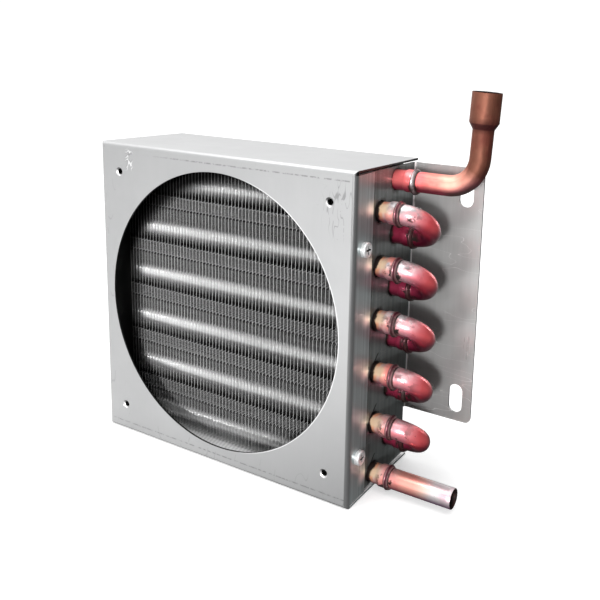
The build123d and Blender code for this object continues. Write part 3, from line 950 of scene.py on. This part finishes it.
class TubeMaker:
    """Draws the outside of a tube ring by ring."""

    def __init__(self, centre, heading, radius, sides):
        self.bm = bmesh.new()
        self.centre = centre.copy()
        self.heading = heading.normalized()
        self.radius = radius
        turn = self.heading.to_track_quat("Z", "Y").to_matrix().to_4x4()
        place = Matrix.Translation(self.centre) @ turn
        self.ring = bmesh.ops.create_circle(self.bm, segments=sides, radius=radius, matrix=place)["verts"]

    def ring_edges(self):
        """The edges of the last ring."""
        members = set(self.ring)
        return [e for e in self.bm.edges if e.verts[0] in members and e.verts[1] in members]

    def run(self, length, radius=None, steps=1):
        """Runs straight on, widening or narrowing evenly to the radius."""
        last = radius or self.radius
        first = self.radius
        for step in range(1, steps + 1):
            self.ring = new_verts(bmesh.ops.extrude_edge_only(self.bm, edges=self.ring_edges()))
            move = self.heading * length / steps
            bmesh.ops.translate(self.bm, vec=move, verts=self.ring)
            self.centre += move
            wanted = first + (last - first) * step / steps
            share = wanted / self.radius
            around = Matrix.Translation(-self.centre)
            bmesh.ops.scale(self.bm, vec=(share, share, share), space=around, verts=self.ring)
            self.radius = wanted

    def bend(self, middle, axis, angle, steps):
        """Goes round an arc about an axis through its middle."""
        made = bmesh.ops.spin(
            self.bm, geom=self.ring + self.ring_edges(), cent=middle, axis=axis, angle=angle, steps=steps,
            use_duplicate=False,
        )
        self.ring = new_verts(made, "geom_last")
        turn = Matrix.Rotation(angle, 3, axis)
        self.centre = middle + turn @ (self.centre - middle)
        self.heading = turn @ self.heading

    def close(self, wall):
        """Gives the tube its wall, inwards, and returns the bmesh."""
        bmesh.ops.remove_doubles(self.bm, verts=self.bm.verts, dist=WELD)
        bmesh.ops.recalc_face_normals(self.bm, faces=self.bm.faces)
        bmesh.ops.solidify(self.bm, geom=self.bm.faces[:], thickness=wall)
        return self.bm


def spin_profile(bm, points, centre, steps):
    """Turns a profile of (along, radius) points round the X axis, into a closed ring."""
    side = RIGHT.orthogonal().normalized()
    verts = [bm.verts.new(centre + RIGHT * along + side * radius) for along, radius in points + points[:1]]
    edges = [bm.edges.new(pair) for pair in zip(verts, verts[1:])]
    bmesh.ops.spin(
        bm, geom=verts + edges, cent=centre, axis=RIGHT, angle=math.tau, steps=steps, use_merge=True,
        use_duplicate=False,
    )


def make_fin(settings, spacing):
    """One fin with its ribs, and the collars that reach to the next fin."""
    bore = TUBE_RADIUS + FIN_CLEARANCE
    places = [Vector((0, joint.y, joint.z)) for joint in FRONT_JOINTS + REAR_JOINTS]
    facing = Matrix.Rotation(math.radians(90), 4, "Y")
    fin = bmesh.new()
    # the outline and the holes are filled, and then given their thickness
    outline = (
        (PACK_LOW.y, PACK_LOW.z), (PACK_HIGH.y, PACK_LOW.z), (PACK_HIGH.y, PACK_HIGH.z),
        (PACK_LOW.y, PACK_HIGH.z),
    )
    corners = [fin.verts.new((0, y, z)) for y, z in outline]
    sides = [fin.edges.new((corners[i], corners[(i + 1) % 4])) for i in range(4)]
    bmesh.ops.subdivide_edges(fin, edges=[sides[1], sides[3]], cuts=settings.edge_cuts)
    for place in places:
        hole = Matrix.Translation(place) @ facing
        bmesh.ops.create_circle(fin, segments=settings.collar_sides, radius=bore, matrix=hole)
    bmesh.ops.triangle_fill(fin, use_beauty=True, edges=fin.edges[:])
    for rib in RIB_HEIGHTS:
        for side in (-0.5, 0.0, 0.5):
            line = Vector((0, 0, rib + side * settings.rib_width))
            whole = fin.verts[:] + fin.edges[:] + fin.faces[:]
            bmesh.ops.bisect_plane(fin, geom=whole, plane_co=line, plane_no=UP, dist=WELD)
    reach = REAR_JOINTS[0].y - bore - PACK_LOW.y
    for vert in fin.verts:
        on_rib = min(abs(vert.co.z - rib) for rib in RIB_HEIGHTS) < TOLERANCE
        if on_rib and vert.co.y < REAR_JOINTS[0].y:
            vert.co.x += settings.rib_rise * max(0.0, 1 - (vert.co.y - PACK_LOW.y) / reach)
    lifted = new_verts(bmesh.ops.extrude_face_region(fin, geom=fin.faces[:]))
    bmesh.ops.translate(fin, vec=RIGHT * settings.thickness, verts=lifted)
    outer = bore + settings.collar_wall
    collar = [
        (settings.thickness, bore), (settings.thickness, outer + settings.collar_root),
        (settings.thickness + settings.collar_root, outer), (spacing, outer), (spacing, bore),
    ]
    for place in places:
        spin_profile(fin, collar, place, settings.collar_sides)
    bmesh.ops.remove_doubles(fin, verts=fin.verts, dist=WELD)
    bmesh.ops.recalc_face_normals(fin, faces=fin.faces)
    return fin


def make_fins(settings, material):
    """The fin pack: foil fins, unevenly spaced and with slightly bent edges."""
    count = settings.count
    spacing = (PACK_HIGH.x - PACK_LOW.x - settings.thickness) / (count - 1)
    fin_mesh = to_mesh(make_fin(settings, spacing), "one_fin")
    half = count // 2
    for name, first, last in (("fins_left", 0, half), ("fins_right", half, count)):
        pack = bmesh.new()
        for i in range(first, last):
            before = set(pack.verts)
            pack.from_mesh(fin_mesh)
            added = [v for v in pack.verts if v not in before]
            slip = settings.spacing_error * noise.noise(Vector((i * 3.7, 0.3, 0.7)))
            inner = 0 < i < count - 1
            place = PACK_LOW.x + i * spacing + slip * inner
            bmesh.ops.translate(pack, vec=RIGHT * place, verts=added)
            if not inner:
                continue
            for vert in added:
                if vert.co.y < PACK_LOW.y + ON_PLANE or vert.co.y > PACK_HIGH.y - ON_PLANE:
                    sample = Vector((i * 1.9, vert.co.z * 70, vert.co.y * 9))
                    vert.co.x += settings.edge_wave * noise.noise(sample)
        if last == count:
            # the last fin has no collars
            beyond = [v for v in pack.verts if v.co.x > PACK_HIGH.x + TOLERANCE]
            bmesh.ops.delete(pack, geom=beyond, context="VERTS")
        finish_piece(pack, name, [material], "fin_pack", crease=50.0)
    bpy.data.meshes.remove(fin_mesh)


def bend_middle(bend_start, front, rear):
    """The middle of a bend between a front and a rear leg."""
    return Vector((bend_start, (front.y + rear.y) / 2, (front.z + rear.z) / 2))


def start_in_bell(place, settings):
    """Starts a tube inside the bell of the leg at a joint."""
    return TubeMaker(Vector((SPIGOT_START, place.y, place.z)), RIGHT, TUBE_RADIUS, settings.sides)


def make_hairpin(number, settings, front_material, rear_material):
    """Two legs and the left-hand bend of one tube, with a bell at each leg's end."""
    node = f"hairpin_{number}"
    front, rear = FRONT_JOINTS[number - 1], REAR_JOINTS[number - 1]
    bend_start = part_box(node)[0].x + BEND_RADIUS + TUBE_RADIUS
    bell = TUBE_RADIUS + settings.bell_step
    bell_run = settings.bell_length - settings.bell_flare
    straight = LEG_END - settings.bell_length - bend_start
    tube = TubeMaker(front, -RIGHT, bell, settings.sides)
    tube.run(bell_run, steps=3)
    tube.run(settings.bell_flare, radius=TUBE_RADIUS, steps=2)
    tube.run(straight, steps=12)
    middle = bend_middle(bend_start, front, rear)
    axis = (tube.centre - middle).cross(-RIGHT).normalized()
    tube.bend(middle, axis, math.pi, settings.bend_steps)
    tube.run(straight, steps=12)
    tube.run(settings.bell_flare, radius=bell, steps=2)
    tube.run(bell_run, steps=3)
    bm = tube.close(settings.wall)
    mark_distance(bm, lambda co: co.x - LEG_END)
    for face in bm.faces:
        face.material_index = int((face.calc_center_median() - middle).dot(rear - front) > 0)
    finish_tube(bm, f"hairpin_tube_{number}", [front_material, rear_material], node)


def make_return_bend(number, settings, material):
    """The half-round bend from one hairpin's front leg to the next one's rear leg."""
    node = f"return_bend_{number}"
    front, rear = FRONT_JOINTS[number - 1], REAR_JOINTS[number]
    bend_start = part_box(node)[1].x - BEND_RADIUS - TUBE_RADIUS
    middle = bend_middle(bend_start, front, rear)
    towards_front = (Vector((bend_start, front.y, front.z)) - middle).normalized()
    tube = start_in_bell(front, settings)
    tube.run(bend_start - SPIGOT_START, steps=4)
    tube.bend(middle, towards_front.cross(RIGHT), math.pi, settings.bend_steps)
    tube.run(bend_start - SPIGOT_START, steps=4)
    bm = tube.close(settings.wall)
    straight = bend_start - LEG_END
    half_turn = math.pi * BEND_RADIUS

    def distance(co):
        """From the front joint, round the bend to the rear joint."""
        aside = (co - middle).dot(towards_front)
        if co.x >= bend_start:
            return straight + BEND_RADIUS * math.atan2(co.x - bend_start, aside)
        if aside > 0:
            return co.x - LEG_END
        return 2 * straight + half_turn + LEG_END - co.x

    mark_distance(bm, distance)
    finish_tube(bm, f"return_tube_{number}", [material], node)


def make_outlet(settings, materials):
    """The plain outlet tube."""
    place = FRONT_JOINTS[-1]
    tube = start_in_bell(place, settings)
    tube.run(OUTLET_HIGH.x - SPIGOT_START - OUTLET_CHAMFER, steps=16)
    tube.run(OUTLET_CHAMFER, radius=TUBE_RADIUS - RIM_STEP)
    bm = tube.close(settings.wall)
    mark_distance(bm, lambda co: co.x - LEG_END)
    mark_bore(bm, Vector((OUTLET_HIGH.x, place.y, place.z)), -RIGHT, OUTLET_HIGH.x - SPIGOT_START)
    finish_tube(bm, "outlet_tube", materials, "outlet_stub")


def make_elbow(settings, materials):
    """The inlet elbow: along the top rear tube, turned up, and belled to a socket."""
    place = REAR_JOINTS[0]
    mount = MOUNTS["inlet_socket"]
    up = Vector(mount["axis"]).normalized()
    depth = mount["dims"]["length_mm"] * MM
    socket_radius = mount["dims"]["r_mm"] * MM + settings.socket_wall
    mouth = Vector(mount["pos_m"]) + up * depth / 2
    radius = settings.elbow_radius
    angle = math.acos(up.x)
    neck = mouth - up * (depth + settings.socket_flare)
    # the bend's middle stands straight above the end of the level run
    rise = (neck.z - place.z - radius * (1 - math.cos(angle))) / up.z
    bend_end = neck - up * rise
    middle = bend_end + Vector((-up.z, 0, up.x)) * radius
    middle.z = place.z + radius
    tube = start_in_bell(place, settings)
    tube.run(middle.x - SPIGOT_START, steps=10)
    tube.bend(middle, Vector((0, -1, 0)), angle, settings.bend_steps)
    tube.run(rise, steps=6)
    tube.run(settings.socket_flare, radius=socket_radius, steps=6)
    tube.run(depth - SOCKET_CHAMFER, steps=5)
    tube.run(SOCKET_CHAMFER, radius=socket_radius - RIM_STEP)
    bm = tube.close(settings.socket_wall)
    level_run = middle.x - LEG_END

    def distance(co):
        """From the joint, along the level run, round the turn and up."""
        if co.x < middle.x and co.z < middle.z:
            return co.x - LEG_END
        if (co - bend_end).dot(up) > 0:
            return level_run + radius * angle + (co - bend_end).dot(up)
        return level_run + radius * math.atan2(co.x - middle.x, middle.z - co.z)

    mark_distance(bm, distance)
    mark_bore(bm, mouth, -up, depth + settings.socket_flare)
    finish_tube(bm, "inlet_tube", materials, "inlet_elbow")


def make_braze_ring(number, settings, material):
    """An uneven bead of alloy round one joint."""
    node = f"braze_ring_{number:02d}"
    low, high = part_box(node)
    place = joint_place(number)
    lip = (high.z - low.z) / 2
    length = high.x - low.x
    profile = [
        (-0.5 * MM, lip - 0.55 * MM), (-0.45 * MM, lip - 0.18 * MM), (-0.1 * MM, lip + 0.05 * MM),
        (0.35 * length, lip - 0.06 * MM), (0.65 * length, lip - 0.38 * MM),
        (1.0 * length, TUBE_RADIUS + 0.18 * MM), (1.25 * length, TUBE_RADIUS - 0.05 * MM),
    ]
    bm = bmesh.new()
    spin_profile(bm, profile, place, settings.steps)
    hang = settings.drip * abs(noise.noise(Vector((number * 7.7, 0.5, 0.2)))) * 2
    seed = Vector((number * 5.3, 0, 0))
    for vert in bm.verts:
        offset = vert.co - place
        radial = Vector((0, offset.y, offset.z))
        if radial.length < TUBE_RADIUS + ON_PLANE:
            continue
        outwards = radial.normalized()
        under = max(0.0, -outwards.z) ** 6
        vert.co += Vector((0.5 * under * offset.x, 0, -under * hang))
        swell = noise.noise(vert.co * 260 + seed) * settings.unevenness
        slide = noise.noise(Vector((number * 2.1, offset.y * 150, offset.z * 150))) * settings.unevenness
        vert.co += outwards * min(swell, MOST_SWELL) + RIGHT * slide
    bmesh.ops.recalc_face_normals(bm, faces=bm.faces)
    mark_distance(bm, lambda co: co.x - place.x)
    finish_piece(bm, f"braze_bead_{number:02d}", [material], node)


def make_floor(settings):
    """A pale floor, which the object's gloss sees as darker on the right, as in a shaded studio."""
    bm = bmesh.new()
    bmesh.ops.create_circle(bm, cap_ends=True, segments=96, radius=settings.floor_radius)
    bmesh.ops.translate(bm, vec=UP * SHROUD_LOW.z, verts=bm.verts)
    mesh = to_mesh(bm, "floor")
    paper = Finish("floor_paper")
    seen = paper.tree.nodes.new("ShaderNodeLightPath").outputs["Is Camera Ray"]
    left = paper.towards(paper.where, (-0.95, -0.30, 0.0), -0.12, 0.05)
    reflected = paper.mix(left, tuple(settings.dark_card), tuple(settings.light_card))
    paper.shade(paper.mix(seen, reflected, tuple(settings.floor_colour)), 0.0, 0.8)
    paper.fill(paper.shader.inputs["Emission Color"], grey(1.0))
    paper.fill(paper.shader.inputs["Emission Strength"], paper.product(seen, settings.floor_glow))
    mesh.materials.append(paper.material)
    floor = new_object("floor", mesh)


def make_light(name, place, size, power):
    """A round soft light, aimed at the coil."""
    light = bpy.data.lights.new(name, "AREA")
    light.shape = "DISK"
    light.size = size
    light.energy = power
    lamp = new_object(name, light)
    lamp.location = place
    lamp.rotation_euler = (-Vector(place)).to_track_quat("-Z", "Y").to_euler()


def make_world(scene):
    """White behind the coil; round it, a room bright above and in front and dark on the right."""
    world = bpy.data.worlds.new("studio")
    scene.world = world
    world.use_nodes = True
    sky = Nodes(world.node_tree)
    sky.tree.nodes.clear()
    where = sky.tree.nodes.new("ShaderNodeTexCoord").outputs["Generated"]
    seen = sky.tree.nodes.new("ShaderNodeLightPath").outputs["Is Camera Ray"]
    room = sky.spread(sky.towards(where, (-0.66, -0.22, 0.72), -0.55, 0.75), 0.12, 1.15)
    level = sky.math("MAXIMUM", room, sky.product(seen, 1.05))
    shine = sky.add("ShaderNodeBackground", {"Color": grey(1.0), "Strength": level})
    sky.add("ShaderNodeOutputWorld", {"Surface": shine.outputs[0]})


def make_camera(settings):
    """The camera at the photograph's viewing angle."""
    lens = bpy.data.cameras.new("camera")
    lens.sensor_width = 36.0
    lens.sensor_fit = "HORIZONTAL"
    lens.lens = settings.lens
    lens.shift_x = settings.shift_x
    lens.shift_y = settings.shift_y
    lens.clip_start = 0.01
    camera = new_object("camera", lens)
    camera.location = settings.camera
    camera.rotation_euler = Euler(settings.turn)
    bpy.context.scene.camera = camera


class COIL_OT_stage(bpy.types.Operator):
    """Sets the camera, the pale floor and the soft light"""

    bl_idname = "coil.stage"
    bl_label = "Stage"

    def execute(self, context):
        scene = context.scene
        settings = scene.coil_stage
        make_camera(settings)
        make_floor(settings)
        make_light("front", place=(0.30, -0.84, 0.14), size=0.14, power=settings.front_power)
        make_light("overhead", place=(-0.25, -0.20, 1.10), size=0.9, power=settings.top_power)
        make_world(scene)
        scene.view_settings.view_transform = "Standard"
        # the light between the fins is reflected many times before it comes out
        scene.cycles.max_bounces = 14
        scene.cycles.glossy_bounces = 12
        scene.cycles.caustics_reflective = False
        return {"FINISHED"}


class COIL_OT_sheet(bpy.types.Operator):
    """Finishes the fan shroud, the end plates and the screws"""

    bl_idname = "coil.sheet"
    bl_label = "Sheet metal"

    def execute(self, context):
        settings = context.scene.coil_sheet
        shroud = sheet_material(
            "shroud_zinc", tuple(settings.shroud), metallic=0.60, roughness=0.34, streaks=0.10,
            scratched=0.40, scratch_colour=(0.33, 0.33, 0.34), marks_and_painted_light=shroud_marks_and_painted_light, painted_light=painted_bottom_light,
        )
        plate = sheet_material(
            "plate_zinc", tuple(settings.plate), metallic=0.50, roughness=0.30, streaks=0.35,
            scratched=0.54, scratch_colour=(0.85, 0.85, 0.84), marks_and_painted_light=plate_marks_and_painted_light,
        )
        for node, material in (
            ("fan_shroud", shroud), ("right_end_plate", plate), ("left_end_plate", plate),
            ("side_screws", screw_material(settings)),
        ):
            frame["nodes"][node].material_slots[0].material = material
        return {"FINISHED"}


class COIL_OT_fins(bpy.types.Operator):
    """Makes the foil fins with their collars"""

    bl_idname = "coil.fins"
    bl_label = "Fins"

    def execute(self, context):
        settings = context.scene.coil_fins
        make_fins(settings, fin_material(settings))
        return {"FINISHED"}


class COIL_OT_tubes(bpy.types.Operator):
    """Makes the hairpins, the return bends, the inlet elbow and the outlet tube"""

    bl_idname = "coil.tubes"
    bl_label = "Copper tubes"

    def execute(self, context):
        settings = context.scene.coil_tubes

        def stops(*pairs):
            """Stops of a tube's colour, in millimetres from the joint."""
            return [(place, tuple(getattr(settings, colour))) for place, colour in pairs]

        # painted shadow at the roots of the front legs: the soot stops next to the plate
        front_legs = copper_material(
            "front_leg_copper", settings,
            stops((-20.0, "plain"), (-13.0, "soot_and_shade"), (-8.1, "soot_and_shade"), (-7.4, "tan"), (-6.6, "tan"),
                  (-5.6, "cream"), (-4.2, "peach"), (1.0, "salmon")),
            film_reach=6.0, film_cover=0.60, seam=-0.3, metal=0.38, pale=tuple(settings.pale),
        )
        rear_legs = copper_material(
            # painted shade: the rear legs are shaded crimson all along
            "rear_leg_copper", settings,
            stops((-20.0, "plain"), (-13.0, "soot_and_shade"), (-9.2, "soot_and_shade"), (-8.2, "crimson"), (1.0, "crimson")),
            film_reach=3.0, film_cover=0.38, metal=0.38,
        )
        # painted shade: each bend turns shaded crimson towards its rear leg
        bends = copper_material(
            "bend_copper", settings,
            stops((0.0, "salmon"), (2.5, "blush"), (7.5, "blush"), (12.0, "ember"), (15.0, "ember"),
                  (19.5, "crimson"), (60.0, "crimson")),
            film_reach=11.5, film_cover=0.70, seam=1.7, metal=0.55, far=BEND_LENGTH,
        )
        elbow = copper_material(
            "elbow_copper", settings,
            stops((0.0, "salmon"), (2.0, "salmon"), (7.0, "flushed"), (12.0, "flushed"), (16.0, "rusty"),
                  (22.0, "rusty"), (32.0, "brown"), (70.0, "brown")),
            film_reach=4.5, film_cover=0.5, seam=1.7, muted_and_shaded=0.24, grain=(0.12, 1.0, 0.12),
        )
        outlet = copper_material(
            "outlet_copper", settings,
            stops((0.0, "salmon"), (7.0, "peach"), (14.0, "peach"), (19.0, "cream"), (24.0, "silver"),
                  (33.0, "silver")),
            film_reach=8.0, film_cover=0.80, seam=1.7,
        )
        elbow_leg = copper_material(
            "elbow_leg_copper", settings,
            stops((-20.0, "plain"), (-12.0, "flushed"), (-9.0, "salmon"), (1.0, "salmon")),
            film_reach=2.0, film_cover=0.4, metal=0.38,
        )
        bore = bore_material(settings)
        for number in range(1, TUBES_PER_ROW + 1):
            make_hairpin(number, settings, front_legs, elbow_leg if number == 1 else rear_legs)
        for number in range(1, TUBES_PER_ROW):
            make_return_bend(number, settings, bends)
        make_elbow(settings, [elbow, bore])
        make_outlet(settings, [outlet, bore])
        return {"FINISHED"}


class COIL_OT_braze(bpy.types.Operator):
    """Makes the braze beads round the joints"""

    bl_idname = "coil.braze"
    bl_label = "Brazed joints"

    def execute(self, context):
        settings = context.scene.coil_braze
        tubes = context.scene.coil_tubes
        alloy, maroon, olive = tuple(settings.colour), tuple(settings.maroon), tuple(settings.burnt)
        rose, film, soot_and_shade = tuple(settings.rose), tuple(tubes.silver), tuple(tubes.soot_and_shade)
        front = braze_material(
            "braze_front", settings, soot_and_shade,
            [(-0.5, rose), (0.1, rose), (0.35, maroon), (0.8, maroon), (1.2, rose), (2.2, rose)],
        )
        inlet = braze_material(
            "braze_inlet", settings, soot_and_shade,
            [(-0.5, olive), (-0.1, alloy), (0.4, film), (0.9, film), (1.3, alloy), (1.7, olive),
             (2.2, olive)],
        )
        rear = braze_material(
            "braze_rear", settings, soot_and_shade,
            [(-0.5, soot_and_shade), (0.5, soot_and_shade), (0.75, olive), (0.9, olive), (1.15, soot_and_shade), (2.2, soot_and_shade)],
        )
        materials = [front] * TUBES_PER_ROW + [inlet] + [rear] * (TUBES_PER_ROW - 1)
        for number, material in enumerate(materials, 1):
            make_braze_ring(number, settings, material)
        return {"FINISHED"}


class COIL_PT_panel(bpy.types.Panel):
    """Lists the steps that dress the coil"""

    bl_idname = "COIL_PT_panel"
    bl_label = "Condenser coil"
    bl_space_type = "VIEW_3D"
    bl_region_type = "UI"
    bl_category = "Coil"

    def draw(self, context):
        for name, group, operator in STEPS:
            box = self.layout.box()
            for item in group.__annotations__:
                box.prop(getattr(context.scene, name), item)
            box.operator(operator.bl_idname)


STEPS = (
    ("coil_stage", StageSettings, COIL_OT_stage),
    ("coil_sheet", SheetSettings, COIL_OT_sheet),
    ("coil_fins", FinSettings, COIL_OT_fins),
    ("coil_tubes", TubeSettings, COIL_OT_tubes),
    ("coil_braze", BrazeSettings, COIL_OT_braze),
)


def register():
    """Registers the settings, the operators and the panel."""
    for name, group, operator in STEPS:
        bpy.utils.register_class(group)
        bpy.utils.register_class(operator)
        setattr(bpy.types.Scene, name, PointerProperty(type=group))
    bpy.utils.register_class(COIL_PT_panel)


def unregister():
    """Takes them out again."""
    bpy.utils.unregister_class(COIL_PT_panel)
    for name, group, operator in STEPS:
        delattr(bpy.types.Scene, name)
        bpy.utils.unregister_class(operator)
        bpy.utils.unregister_class(group)


def main():
    """Dresses the coil."""
    register()
    bpy.ops.coil.stage()
    bpy.ops.coil.sheet()
    bpy.ops.coil.fins()
    bpy.ops.coil.tubes()
    bpy.ops.coil.braze()


if __name__ == "__main__":
    main()
